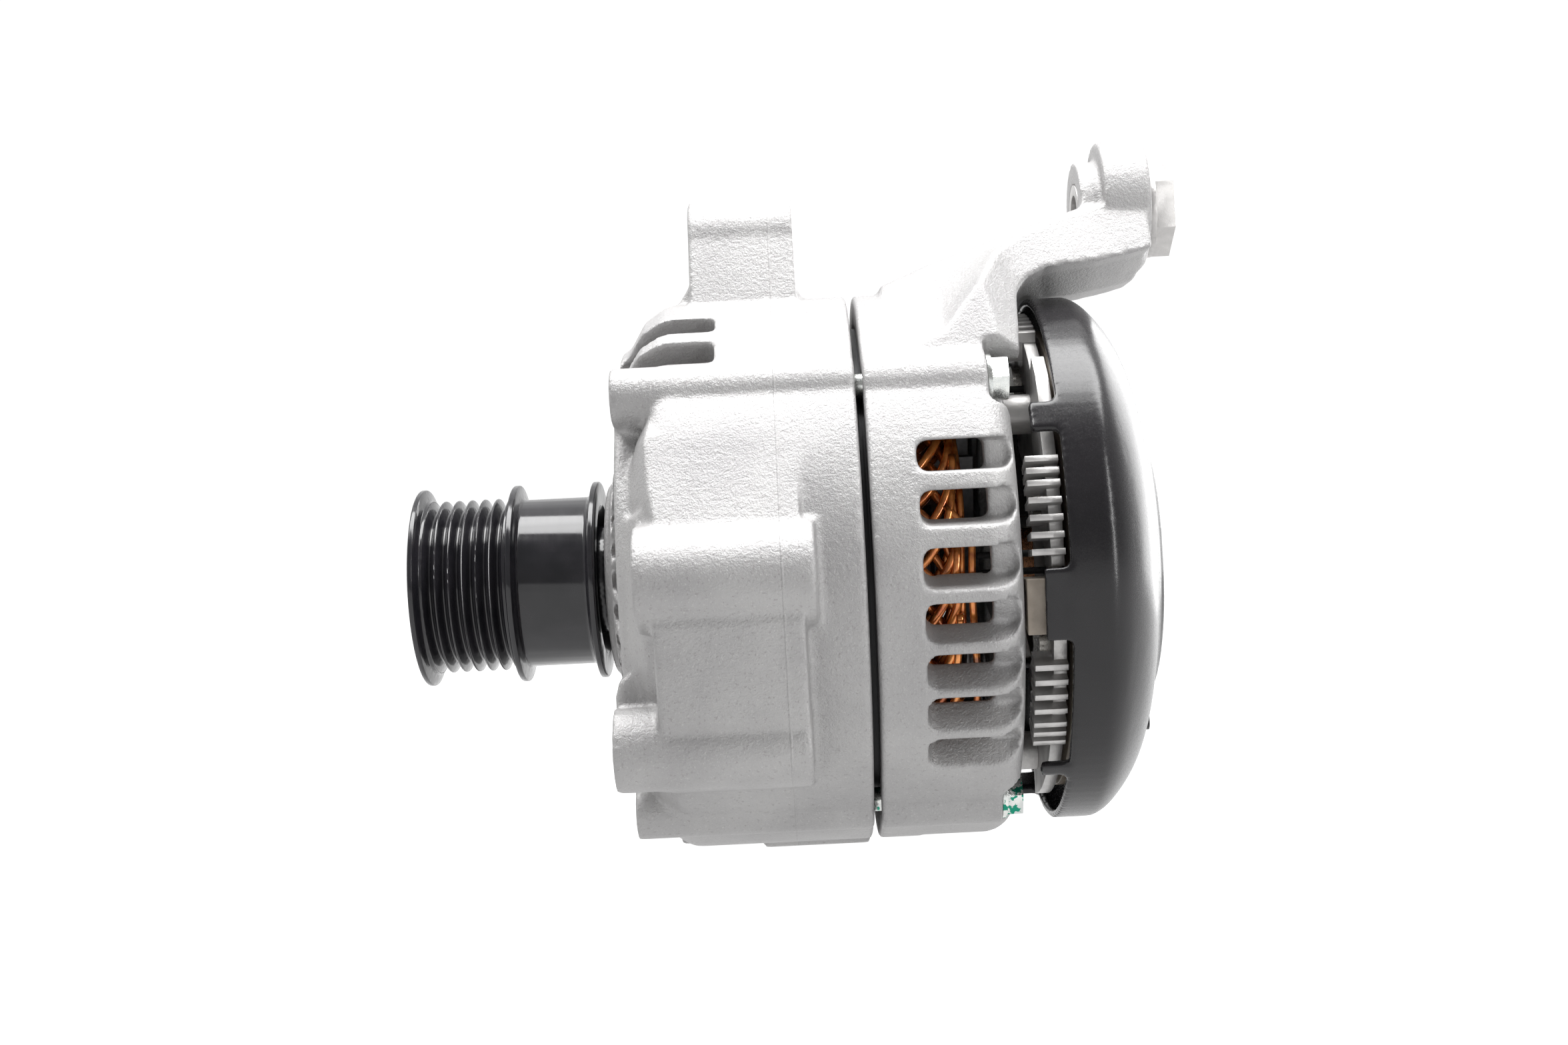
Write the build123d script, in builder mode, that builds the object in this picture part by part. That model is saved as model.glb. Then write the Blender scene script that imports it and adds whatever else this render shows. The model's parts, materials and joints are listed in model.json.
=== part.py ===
from build123d import *
import os
from math import asin, cos, degrees, radians, sin

# A car alternator with an overrunning belt pulley, as an assembly of separate pieces.
# Millimetres. X runs along the shaft from the pulley's front face at x = 0 to the rear cover,
# and Z is up. Stations written "split + d" are counted from the joint between the two housings.
# An angle around the shaft is measured up from the horizontal, on the -Y side.

os.makedirs("parts", exist_ok=True)

# ---- driving dimensions ----------------------------------------------------------------
split = 116.7            # rear edge of the front housing
split_gap = 1.8          # open joint between the housings, where the stator core shows
body_r = 72.5            # outside of both housings
seat_r = 64.0            # bore that holds the stator core
running = 0.05           # radial clearance of a turning fit
slack = 0.1              # clearance of a piece that is bolted or cemented in place

# belt pulley
rib_count = 6
rib_pitch = 3.56
rib_depth = 2.9
rib_r = 23.2             # over the ribs
pulley_flange_r = 26.5
barrel_r = 22.5
pulley_end = 48.4        # rear face of the rear flange
pulley_bore_r = 18.6
hub_r = 11.6
collar_r = 14.3

# housings
nose_x = split - 66.0
nose_r = 25.0
face_x = split - 60.0
web_x = split - 59.4       # front of the spoked web
rear_x0 = split + split_gap
rear_wall = split + 31.0
rear_end = split + 37.0

# through bolts
bolt_circle = 67.5
bolt_angles = (41.7, 138.3, 239.4, -59.4)
bolt_r = 3.0

# mounts
ear_z = 89.5
ear_x = (split - 40.9, split - 13.0)
ear_r = 11.0
arm_z = 92.0
arm_x = (split + 63.3, split + 81.5)
eye_x = split + 69.0
eye_r = 17.0
arm_collar_r = 13.8
bushing_end = split + 88.4
mount_r = 5.25           # clearance for an M10 bolt
tapped_r = 5.0           # M10 thread
middle_boss = (-70.0, 0.7)
lower_boss = (-64.0, -39.5)
boss_hole_end = split - 22.0

# shaft and bearings
shaft_r = 8.5
front_bearing = dict(x=nose_x + 4.0, width=12.0, bore=8.5, outer=20.0, ball=3.35, count=8)
rear_bearing = dict(x=split + 26.5, width=10.0, bore=8.5, outer=17.5, ball=2.4, count=10)
pulley_bearing = dict(x=36.0, width=8.0, bore=hub_r, outer=pulley_bore_r, ball=1.9, count=15)
clutch_x = (9.0, 31.0)
roller_r = 1.6
roller_count = 18

# stator and rotor
core_x = (split - 21.5, split + 12.5)
core_bore_r = 50.0
slot_count = 48
rotor_r = 49.6
pole_count = 6           # claws on each pole
rotor_x = (split - 27.0, split + 17.5)
field_r = 36.0

# slip rings and brushes
ring_r = 8.2
ring_x = (split + 44.0, split + 52.0)
ring_width = 5.5
brush_size = (4.6, 6.4, 15.0)
brush_channel = (5.2, 7.0)

# rear end
cover_rim = split + 47.6
cover_top = split + 75.8
cover_r = 69.5
cover_wall = 2.0
sink_x = (split + 44.0, split + 47.2)
upper_sink_x = (split + 54.5, split + 58.0)
stud_angles = (45.0, 165.0, 285.0)
stud_circle = 52.0
lead_angles = (0.0, 57.0, 150.0)
lead_circle = 51.0
battery_at = (30.0, 42.0)
connector_at = (16.5, -39.0)


# ---- helpers ----------------------------------------------------------------------------
def axial(x):
    """Plane square to the shaft at a station, with its own axes along +Y and +Z."""
    return Plane(origin=(x, 0, 0), x_dir=(0, 1, 0), z_dir=(1, 0, 0))


def around(angle, radius):
    """The (y, z) of a point at an angle and radius around the shaft."""
    return -radius * cos(radians(angle)), radius * sin(radians(angle))


def outward(angle, radius, lean=0.0):
    """Plane that faces out from the shaft, its normal leaning down on the -Y side."""
    y, z = around(angle, radius)
    dy, dz = around(angle - lean, 1.0)
    return Plane(origin=(0, y, z), x_dir=(1, 0, 0), z_dir=(0, dy, dz))


def turn(*points, soft=(), mode=Mode.ADD):
    """Turn a closed (station, radius) outline about the shaft; soft rounds (x, r, radius) corners."""
    with BuildSketch(Plane.XZ) as outline:
        with BuildLine():
            Polyline(*points, close=True)
        make_face()
        for x, r, radius in soft:
            fillet(outline.vertices().sort_by_distance((x, r, 0))[0], radius)
    revolve(outline.sketch, axis=Axis.X, mode=mode)


def ring(x0, x1, inner, outer, mode=Mode.ADD):
    """A plain ring about the shaft."""
    turn((x0, inner), (x1, inner), (x1, outer), (x0, outer), mode=mode)


def prism(x0, x1, points, soft=0.0, mode=Mode.ADD):
    """A prism along the shaft over an outline in (y, z), with every corner rounded by soft."""
    with BuildSketch(axial(x0)) as outline:
        with BuildLine():
            Polyline(*points, close=True)
        make_face()
        if soft:
            fillet(outline.vertices(), soft)
    extrude(outline.sketch, amount=x1 - x0, mode=mode)


def rod(x0, x1, radius, at=(0.0, 0.0), mode=Mode.ADD):
    """A round bar or hole along the shaft's direction."""
    with BuildSketch(axial(x0)) as outline:
        with Locations(at):
            Circle(radius)
    extrude(outline.sketch, amount=x1 - x0, mode=mode)


def hexagon(x0, x1, across_flats, at=(0.0, 0.0), mode=Mode.ADD, turned=0.0):
    """A hexagonal bar along the shaft's direction."""
    with BuildSketch(axial(x0)) as outline:
        with Locations(at):
            RegularPolygon(across_flats / 2, 6, major_radius=False, rotation=turned)
    extrude(outline.sketch, amount=x1 - x0, mode=mode)


def slab(corner, size, soft=0.0, mode=Mode.ADD):
    """A block from its lowest corner, with rounded edges along X when soft is given."""
    y, z = corner[1], corner[2]
    points = [(y, z), (y + size[1], z), (y + size[1], z + size[2]), (y, z + size[2])]
    prism(corner[0], corner[0] + size[0], points, soft=soft, mode=mode)


def side_plate(y0, y1, points, mode=Mode.ADD):
    """A plate square to Y over an outline in (x, z)."""
    with BuildSketch(Plane.XZ.offset(-y0)) as outline:
        with BuildLine():
            Polyline(*points, close=True)
        make_face()
    extrude(outline.sketch, amount=y0 - y1, mode=mode)


def keep(piece, name):
    """Name a finished piece and write it."""
    piece.part.label = name
    export_step(piece.part, f"parts/{name}.step")


# ---- belt pulley ------------------------------------------------------------------------
def pulley_outline():
    """The pulley shell's (station, radius) outline: three flanges, the belt grooves, the barrel."""
    first = 2.9
    points = [(0.0, pulley_bore_r), (0.0, pulley_flange_r - 0.4), (0.3, pulley_flange_r)]
    points += [(1.4, pulley_flange_r), (2.3, rib_r + 0.3), (first, rib_r)]
    flat = 0.5
    for index in range(rib_count):
        x = first + index * rib_pitch
        points += [(x + flat / 2, rib_r), (x + rib_pitch / 2 - 0.3, rib_r - rib_depth)]
        points += [(x + rib_pitch / 2 + 0.3, rib_r - rib_depth), (x + rib_pitch - flat / 2, rib_r)]
    points += [(24.8, rib_r), (25.2, pulley_flange_r - 0.4), (25.5, pulley_flange_r)]
    points += [(26.8, pulley_flange_r), (27.5, barrel_r + 0.5), (28.1, barrel_r)]
    points += [(45.0, barrel_r), (45.8, barrel_r + 0.5), (46.7, pulley_flange_r)]
    points += [(pulley_end - 0.3, pulley_flange_r), (pulley_end, pulley_flange_r - 0.5)]
    points += [(pulley_end, pulley_bore_r + 1.6), (pulley_end - 3.0, pulley_bore_r)]
    return points


with BuildPart() as pulley_shell:
    turn(*pulley_outline())
keep(pulley_shell, "pulley_shell")

# The hub screws onto the shaft. Its mouth is a toothed socket for the fitting tool.
socket_r = 8.75
socket_depth = 10.0
socket_teeth = 33
with BuildPart() as pulley_hub:
    turn((0.0, socket_r), (0.0, hub_r - 0.6), (0.6, hub_r), (45.0, hub_r), (45.6, collar_r),
         (nose_x - 0.3, collar_r), (nose_x - 0.3, 11.4), (nose_x + 3.7, 11.4),
         (nose_x + 3.7, shaft_r + slack), (socket_depth + 2.0, shaft_r + slack),
         (socket_depth, socket_r))
    with BuildSketch(axial(0.0)):
        with PolarLocations(socket_r, socket_teeth):
            Circle(0.45)
    extrude(amount=socket_depth - 1.0, mode=Mode.SUBTRACT)
keep(pulley_hub, "pulley_hub")

with BuildPart() as clutch_race:
    ring(clutch_x[0], clutch_x[1], pulley_bore_r - 2.4, pulley_bore_r - running)
    # one shallow ramp for each roller, so that the rollers lock in one direction
    with BuildSketch(axial(clutch_x[0] + 2.0)):
        with PolarLocations(pulley_bore_r - 2.9, roller_count):
            Circle(roller_r + 0.2)
    extrude(amount=clutch_x[1] - clutch_x[0] - 4.0, mode=Mode.SUBTRACT)
keep(clutch_race, "clutch_race")

roller_circle = hub_r + roller_r + 0.4
with BuildPart() as clutch_rollers:
    with BuildSketch(axial(clutch_x[0] + 3.0)):
        with PolarLocations(roller_circle, roller_count):
            Circle(roller_r)
    extrude(amount=clutch_x[1] - clutch_x[0] - 6.0)
keep(clutch_rollers, "clutch_rollers")

with BuildPart() as clutch_cage:
    ring(clutch_x[0] + 1.0, clutch_x[1] - 1.0, roller_circle - 0.9, roller_circle + 0.7)
    with BuildSketch(axial(clutch_x[0] + 2.6)):
        with PolarLocations(roller_circle, roller_count):
            Circle(roller_r + 0.1)
    extrude(amount=clutch_x[1] - clutch_x[0] - 5.2, mode=Mode.SUBTRACT)
keep(clutch_cage, "clutch_cage")

with BuildPart() as pulley_seal:
    turn((3.0, pulley_bore_r - running), (3.0, hub_r + 1.6), (3.8, hub_r + 0.4), (5.4, hub_r + 0.4),
         (5.4, hub_r + 1.6), (6.4, pulley_bore_r - running))
keep(pulley_seal, "pulley_seal")


# ---- ball bearings ----------------------------------------------------------------------
def ball_bearing(name, x, width, bore, outer, ball, count):
    """Outer ring, inner ring, balls and cage of a deep-groove bearing, as four nodes."""
    middle = x + width / 2
    pitch = (bore + outer) / 2
    land = ball * 0.55
    groove = ball + running

    with BuildPart() as outer_ring:
        ring(x, x + width, pitch + land, outer)
        with BuildSketch(Plane.XZ) as track:
            with Locations((middle, pitch)):
                Circle(groove)
        revolve(track.sketch, axis=Axis.X, mode=Mode.SUBTRACT)
    keep(outer_ring, f"{name}_outer_ring")

    with BuildPart() as inner_ring:
        ring(x, x + width, bore + (0.0 if name == "pulley_bearing" else running), pitch - land)
        with BuildSketch(Plane.XZ) as track:
            with Locations((middle, pitch)):
                Circle(groove)
        revolve(track.sketch, axis=Axis.X, mode=Mode.SUBTRACT)
    keep(inner_ring, f"{name}_inner_ring")

    with BuildPart(axial(middle)) as balls:
        with PolarLocations(pitch, count):
            Sphere(ball)
    keep(balls, f"{name}_balls")

    with BuildPart(axial(middle)) as cage:
        ring(middle - ball * 1.35, middle + ball * 0.4, pitch - land * 0.5, pitch + land * 0.5)
        with PolarLocations(pitch, count):
            Sphere(ball + 0.1, mode=Mode.SUBTRACT)
    keep(cage, f"{name}_cage")


ball_bearing("front_bearing", **front_bearing)
ball_bearing("rear_bearing", **rear_bearing)
ball_bearing("pulley_bearing", **pulley_bearing)

with BuildPart() as rear_bearing_sleeve:
    x = rear_bearing["x"]
    r = rear_bearing["outer"]
    turn((x, r + running), (x + 10.0, r + running), (x + 10.0, r + 1.0), (x, r + 1.0))
    with BuildSketch(axial(x - 1.0)):
        with PolarLocations(r + 1.0, 12):
            Circle(0.6)
    extrude(amount=12.0, mode=Mode.SUBTRACT)
keep(rear_bearing_sleeve, "rear_bearing_sleeve")

# ---- front housing ----------------------------------------------------------------------
spoke_count = 24
front_vents = [53.2, 64.6, 116.0, 127.0] + [150.0 + 10.5 * step for step in range(8)]


def spoke_window(index, count, inner, outer, web):
    """Outline in (y, z) of one window between two spokes."""
    half = 180.0 / count
    middle = index * 360.0 / count
    low = half - degrees(asin(web / 2 / inner))
    high = half - degrees(asin(web / 2 / outer))
    corners = ((inner, -low), (outer, -high), (outer, high), (inner, low))
    return [around(middle + angle, radius) for radius, angle in corners]


# The upper flat of the bracket block, and its end that slopes back to the edge of the web
upper_flat = [(-52, 44), (-63.5, 35), (-74.5, 13), (-60, 5)]
with BuildPart() as flat_end:
    prism(split - 57.8, split - 47.5, upper_flat)
    with BuildSketch(Plane.XZ.offset(52.0)):
        with BuildLine():
            Polyline((split - 58, 5), (split - 58, 20), (split - 54.6, 33), (split - 49.6, 41),
                     (split - 47, 45), (split - 47, 5), close=True)
        make_face()
    with BuildSketch(Plane.XZ.offset(76.0)):
        with BuildLine():
            Polyline((split - 48, 5), (split - 48, 20), (split - 47.8, 33), (split - 47.6, 41),
                     (split - 47, 45), (split - 47, 5), close=True)
        make_face()
    loft(ruled=True, mode=Mode.INTERSECT)

# Its other end runs on towards the joint and curves back
with BuildPart() as flat_run:
    prism(split - 15.2, split - 8.6, upper_flat)
    side_plate(-90.0, -50.0, [(split - 8.6, 35), (split - 11.6, 30.5), (split - 14, 26), (split - 15.3, 21),
                              (split - 15.3, 4), (split, 4), (split, 35)], mode=Mode.SUBTRACT)

with BuildPart() as front_housing:
    # bearing nose, coned front wall, rounded shoulder and barrel
    turn((nose_x, 0), (nose_x, nose_r), (nose_x + 1.6, nose_r + 1.0), (web_x, 51.0), (web_x, 60.5),
         (web_x + 2.4, 61.8), (split - 53.0, 68.5), (split - 47.0, body_r), (split, body_r), (split, 0),
         soft=((split - 47.0, body_r, 7.0), (nose_x, nose_r, 0.8)))
    # bosses for the through bolts
    for angle in bolt_angles:
        rod(face_x + 0.6, split, 7.2, around(angle, bolt_circle))
    # hollow behind the upper bolt boss
    prism(face_x - 1, split - 49.0, [around(14, 62), around(14, 80), around(35.4, 80), around(35.4, 62)],
          mode=Mode.SUBTRACT)
    # bracket block on the -Y side: middle boss, lower boss and the flats between them
    rod(split - 54.0, split - 11.7, 12.7, middle_boss)
    rod(split - 61.0, split - 14.5, 10.0, lower_boss)
    prism(split - 47.6, split - 15.0, upper_flat)
    add(flat_end.part)
    prism(split - 50.0, split - 14.8, [(-60, 14), (-74, 12), (-79.5, -10), (-74.6, -33),
                                       (-66, -49.5), (-50, -52)])
    add(flat_run.part)
    # lower bracket boss runs on into the barrel, and its gusset reaches forward to the nose
    side_plate(-60.0, -40.0, [(split - 61, -47), (split - 61, -27), (split - 60, -23.5),
                              (split - 56, -20.5), (split - 50, -24), (split - 50, -47)])
    # front ear on top, with its foot
    rod(ear_x[0], ear_x[1], ear_r, (0.0, ear_z))
    prism(ear_x[0], ear_x[1], [(-ear_r, ear_z), (-19, 66), (19, 66), (ear_r, ear_z)])
    side_plate(-11.0, 11.0, [(split - 48, 66), (ear_x[0], 77), (ear_x[1] - 1, 77), (split - 10, 70),
                             (split - 4, 68), (split - 4, 60), (split - 48, 60)])
    # feet under the body
    slab((split - 29.0, 4.0, -75.6), (29.0, 24.0, 16.0), soft=1.5)
    slab((split - 51.5, 4.0, -73.6), (23.0, 24.0, 16.0), soft=1.5)

    # inside: fan chamber, stator seat, bearing seat and shaft hole
    turn((split, 0), (split, seat_r), (split - 22, seat_r), (split - 22, 60), (face_x + 9, 60),
         (face_x + 4, 54), (face_x + 3, 28), (nose_x + 16.0, 25.5), (nose_x + 16.0, 0),
         mode=Mode.SUBTRACT)
    rod(front_bearing["x"], nose_x + 17.0, front_bearing["outer"] + running, mode=Mode.SUBTRACT)
    rod(nose_x - 1.0, front_bearing["x"] + 1.0, 12.4, mode=Mode.SUBTRACT)
    turn((nose_x - 1, 0), (nose_x + 1.2, 0), (nose_x + 1.2, 15.6), (nose_x - 1, 15.6),
         mode=Mode.SUBTRACT)
    # windows between the spokes of the front wall
    for index in range(spoke_count):
        prism(nose_x + 2.4, face_x + 8.0, spoke_window(index, spoke_count, 29.0, 52.5, 2.4),
              soft=0.8, mode=Mode.SUBTRACT)
    # air slots through the shoulder, running out over the front edge
    for angle in front_vents:
        with BuildSketch(outward(angle, 57.0, 14.0)) as slot:
            with Locations((split - 46.5, 0)):
                Rectangle(25.0, 8.4)
            fillet(slot.vertices().group_by(Axis.X)[-1], 1.6)
        extrude(slot.sketch, amount=24.0, mode=Mode.SUBTRACT)
    # tapped holes for the through bolts and for the bracket, and the ear's bore
    for angle in bolt_angles:
        rod(split - 40.0, split + 1.0, bolt_r + slack, around(angle, bolt_circle), mode=Mode.SUBTRACT)
    rod(split - 62.0, split - 54.0, 7.5, (-71.5, middle_boss[1]), mode=Mode.SUBTRACT)
    rod(split - 55.0, boss_hole_end, tapped_r, (-71.5, middle_boss[1]), mode=Mode.SUBTRACT)
    rod(split - 62.0, boss_hole_end, tapped_r, lower_boss, mode=Mode.SUBTRACT)
    rod(ear_x[0] - 1, ear_x[1] + 1, mount_r, (0.0, ear_z), mode=Mode.SUBTRACT)
    # tapped holes for the retainer screws
    with BuildSketch(axial(nose_x + 8.0)):
        with PolarLocations(23.0, 3, start_angle=30.0):
            Circle(1.35)
    extrude(amount=9.0, mode=Mode.SUBTRACT)
keep(front_housing, "front_housing")

# ---- rear housing -----------------------------------------------------------------------
vent_lean = 26.0
vent_x = (split + 13.2, split + 29.4)
vent_runout = split + 35.6
# (angle, height) of each air slot: the ones beside the bracket, then the evenly spaced rest
vents = [(22.8, 7.3), (12.4, 7.7), (1.0, 8.8), (-9.3, 8.6), (-18.9, 7.8), (-27.9, 8.2), (-37.3, 8.4)]
vents += [(20.7 - 10.0 * step, 8.6) for step in (10, 11, 12, 15, 16, 17, 18, 19, 20, 21, 22)]
head_seat = split + 32.0

# The arm: its underside drops from the near edge to the far one, and it narrows towards the eye
arm_root = 46.0
arm_top = [(9, 73.5), (23, 79), (37, 83.5), (48, 87.2), (64, 92), (80, 92)]
mould_line = [(9, 48), (23, 52), (39, 71), (48, 77.5), (64, 83), (80, 84)]
near_underside = [(80, 81), (74, 79.4), (64.8, 77.6), (57.5, 77.2), (50, 75.6), (45, 72.5), (42.2, 68.2),
                  (40.6, arm_root)]
far_underside = [(80, 74.6), (74.5, 73.2), (67, 71.9), (61.5, 71.1), (54.6, 70.8), (47.7, 67.5), (44.7, 64.8),
                 (43.4, arm_root)]


def arm_section(y, top, share):
    """Side outline of the arm at a depth; share tells how far its underside is towards the far edge."""
    low = [(a[0] + (b[0] - a[0]) * share, a[1] + (b[1] - a[1]) * share)
           for a, b in zip(near_underside, far_underside)]
    with BuildSketch(Plane.XZ.offset(-y)) as section:
        with BuildLine():
            Polyline(*[(split + x, z) for x, z in [(9, arm_root)] + top + low], close=True)
        make_face()
    return section.sketch


with BuildPart() as arm:
    loft([arm_section(-57.0, mould_line, 0.0), arm_section(-14.0, arm_top, 0.3)], ruled=True)
    loft([arm_section(-14.0, arm_top, 0.3), arm_section(6.0, arm_top, 1.0)], ruled=True)
    extrude(arm_section(6.0, arm_top, 1.0), amount=-21.0)
    with BuildSketch(Plane.XY.offset(arm_root - 1.0)):
        with BuildLine():
            Polyline((split - 40, -54.5), (split + 38, -54), (split + 50, -42), (split + 66, -38),
                     (split + 120, -36), (split + 120, 34), (split + 50, 38), (split - 40, 38),
                     close=True)
        make_face()
    extrude(amount=50.0, taper=25.0, mode=Mode.INTERSECT)
    rod(arm_x[0], eye_x + 1.0, arm_collar_r, (0.0, arm_z))
    rod(eye_x, arm_x[1], eye_r, (0.0, arm_z + 2.0))

with BuildPart() as rear_housing:
    # barrel with its rounded rear shoulder
    turn((rear_x0, 0), (rear_x0, body_r), (rear_end, body_r), (rear_end, 0),
         soft=((rear_end, body_r, 8.0),))
    for angle in bolt_angles:
        rod(rear_x0, rear_end, 8.6, around(angle, 66.2))
    add(arm.part)

    # inside: stator seat, winding space and the bearing bracket
    ring(rear_x0 - 1, rear_wall, 24.0, seat_r, mode=Mode.SUBTRACT)
    rod(rear_x0 - 1, split + 25.5, 24.5, mode=Mode.SUBTRACT)
    rod(split + 25.0, rear_end + 1, rear_bearing["outer"] + 1.0 + running, mode=Mode.SUBTRACT)
    # space behind the arm for the rear cover
    turn((rear_end, 0), (rear_end, 66.5), (split + 46.6, 66.5), (split + 46.6, 70.3), (split + 58.5, 70.3),
         (split + 66, 65), (split + 90, 0), mode=Mode.SUBTRACT)
    # windows in the rear wall
    for index in range(12):
        prism(rear_wall - 2, rear_end + 1, spoke_window(index, 12, 30.0, 54.0, 5.0), soft=2.0,
              mode=Mode.SUBTRACT)
    # air slots: open through the wall, then running out over the rear ring between the ribs
    for angle, height in vents:
        for floor, x0, x1, end in ((0.0, vent_x[0], vent_x[1], 0), (10.4, vent_x[1] - 1.0, vent_runout, -1)):
            with BuildSketch(outward(angle, 55.0, vent_lean).offset(floor)) as slot:
                with Locations(((x0 + x1) / 2, 6.0)):
                    Rectangle(x1 - x0, height)
                fillet(slot.vertices().group_by(Axis.X)[end], 2.6)
            extrude(slot.sketch, amount=30.0, mode=Mode.SUBTRACT)
    # pockets for the bolt heads, bolt holes and the arm's bore
    for angle in bolt_angles:
        rod(head_seat, rear_end + 6, 7.4, around(angle, 68.0), mode=Mode.SUBTRACT)
        prism(head_seat, rear_end + 6, [around(angle - 8, 59), around(angle - 8, 80), around(angle + 7, 80),
                                        around(angle + 7, 59)], mode=Mode.SUBTRACT)
        rod(rear_x0 - 1, head_seat + 1, bolt_r + slack, around(angle, bolt_circle), mode=Mode.SUBTRACT)
    rod(arm_x[0] - 1, arm_x[1] + 1, 8.0 + running, (0.0, arm_z), mode=Mode.SUBTRACT)
    # holes for the studs that carry the rectifier and the cover
    for angle in stud_angles:
        rod(rear_wall - 1, rear_end + 1, 2.5 + slack, around(angle, stud_circle), mode=Mode.SUBTRACT)
keep(rear_housing, "rear_housing")

with BuildPart() as arm_bushing:
    rod(arm_x[0], arm_x[1] + 0.5, 8.0, (0.0, arm_z))
    rod(arm_x[1] + 0.05, arm_x[1] + 2.0, 12.4, (0.0, arm_z))
    hexagon(arm_x[1] + 1.0, bushing_end, 21.4, (0.0, arm_z), turned=30.0)
    rod(arm_x[0] - 1, bushing_end + 1, mount_r, (0.0, arm_z), mode=Mode.SUBTRACT)
    chamfer(arm_bushing.edges().filter_by(GeomType.CIRCLE).sort_by(Axis.X)[-1], 0.6)
keep(arm_bushing, "arm_bushing")

# ---- through bolts and bearing retainer -------------------------------------------------
with BuildPart() as through_bolts:
    for angle in bolt_angles:
        at = around(angle, bolt_circle)
        rod(split - 38.0, head_seat + 1.0, bolt_r, at)
        rod(head_seat + 0.05, head_seat + 1.2, 6.2, at)
        hexagon(head_seat + 1.0, head_seat + 5.2, 10.0, at)
keep(through_bolts, "through_bolts")

retainer_x = nose_x + 16.1
with BuildPart() as bearing_retainer:
    ring(retainer_x, retainer_x + 1.8, 13.0, 25.2)
    with BuildSketch(axial(retainer_x)):
        with PolarLocations(23.0, 3, start_angle=30.0):
            Circle(1.7)
    extrude(amount=1.8, mode=Mode.SUBTRACT)
keep(bearing_retainer, "bearing_retainer")

with BuildPart() as retainer_screws:
    with BuildSketch(axial(nose_x + 9.0)):
        with PolarLocations(23.0, 3, start_angle=30.0):
            Circle(1.3)
    extrude(amount=retainer_x + 2.0 - nose_x - 9.0)
    with BuildSketch(axial(retainer_x + 1.85)):
        with PolarLocations(23.0, 3, start_angle=30.0):
            Circle(2.0)
    extrude(amount=1.6)
keep(retainer_screws, "retainer_screws")

# ---- stator -----------------------------------------------------------------------------
slot_depth = 9.5
slot_width = 3.4
with BuildPart() as stator_core:
    ring(core_x[0], core_x[1], core_bore_r, seat_r - running)
    with BuildSketch(axial(core_x[0] - 1)):
        with PolarLocations(core_bore_r + slot_depth / 2 - 0.5, slot_count):
            Rectangle(slot_depth + 1.0, slot_width)
    extrude(amount=core_x[1] - core_x[0] + 2, mode=Mode.SUBTRACT)
keep(stator_core, "stator_core")

liner = 0.25
with BuildPart() as slot_liners:
    with BuildSketch(axial(core_x[0] - 0.8)):
        with PolarLocations(core_bore_r + slot_depth / 2, slot_count):
            Rectangle(slot_depth - 0.3, slot_width - 0.2)
            Rectangle(slot_depth - 0.3 - 2 * liner, slot_width - 0.2 - 2 * liner, mode=Mode.SUBTRACT)
    extrude(amount=core_x[1] - core_x[0] + 1.6)
keep(slot_liners, "slot_liners")

winding_x = (split - 38.0, core_x[0] - 1.5, core_x[1] + 1.5, split + 27.5)
with BuildPart() as stator_winding:
    with BuildSketch(axial(winding_x[1] - 1)):
        with PolarLocations(core_bore_r + slot_depth / 2, slot_count):
            Rectangle(slot_depth - 1.4, slot_width - 1.2)
    extrude(amount=winding_x[2] - winding_x[1] + 2)
    turn((winding_x[0], 53), (winding_x[1], 51), (winding_x[1], 60), (winding_x[0], 58.5))
    turn((winding_x[2], 51), (winding_x[3], 53), (winding_x[3], 60.5), (winding_x[2], 61))
keep(stator_winding, "stator_winding")

# ---- rotor ------------------------------------------------------------------------------
shaft_front = 14.0
shaft_end = split + 60.0
with BuildPart() as shaft:
    turn((shaft_front, 0), (shaft_front, shaft_r - 0.8), (shaft_front + 0.8, shaft_r),
         (split + 40.0, shaft_r), (split + 40.3, 5.2), (shaft_end - 0.4, 5.2), (shaft_end, 4.8),
         (shaft_end, 0))
    # multi-point drive in the front end, for holding the shaft while the pulley is screwed on
    hexagon(shaft_front - 1, shaft_front + 9, 8.0, mode=Mode.SUBTRACT)
keep(shaft, "shaft")

claw_root = 21.0
claw_tip = 9.0
claw_length = 37.0
plate = 9.5


def claw_pole(x_plate, direction, start):
    """One half of the pole wheel: plate, claws and the half of the core that it carries."""
    middle = (rotor_x[0] + rotor_x[1]) / 2
    x_far = x_plate + direction * plate
    with BuildPart() as pole:
        with BuildSketch(axial(min(x_plate, x_far))) as wheel:
            Circle(33.0)
            for index in range(pole_count):
                y, z = around(start + 60.0 * index, 41.0)
                with Locations(Location((y, z), 180.0 - start - 60.0 * index)):
                    Rectangle(17.6, claw_root)
        extrude(wheel.sketch, amount=plate)
        rod(min(x_far, middle), max(x_far, middle), 17.0)
        for index in range(pole_count):
            angle = start + 60.0 * index
            with BuildSketch(outward(angle, 39.5)) as claw:
                with BuildLine():
                    Polyline((x_plate, -claw_root / 2), (x_plate + direction * claw_length, -claw_tip / 2),
                             (x_plate + direction * claw_length, claw_tip / 2),
                             (x_plate, claw_root / 2), close=True)
                make_face()
            extrude(claw.sketch, amount=12.0)
        ring(rotor_x[0] - 5, rotor_x[1] + 5, rotor_r, rotor_r + 12, mode=Mode.SUBTRACT)
        rod(rotor_x[0] - 5, rotor_x[1] + 5, shaft_r + running, mode=Mode.SUBTRACT)
    return pole


claw_pole_front = claw_pole(rotor_x[0], 1, 0.0)
keep(claw_pole_front, "claw_pole_front")
claw_pole_rear = claw_pole(rotor_x[1], -1, 30.0)
keep(claw_pole_rear, "claw_pole_rear")

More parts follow.
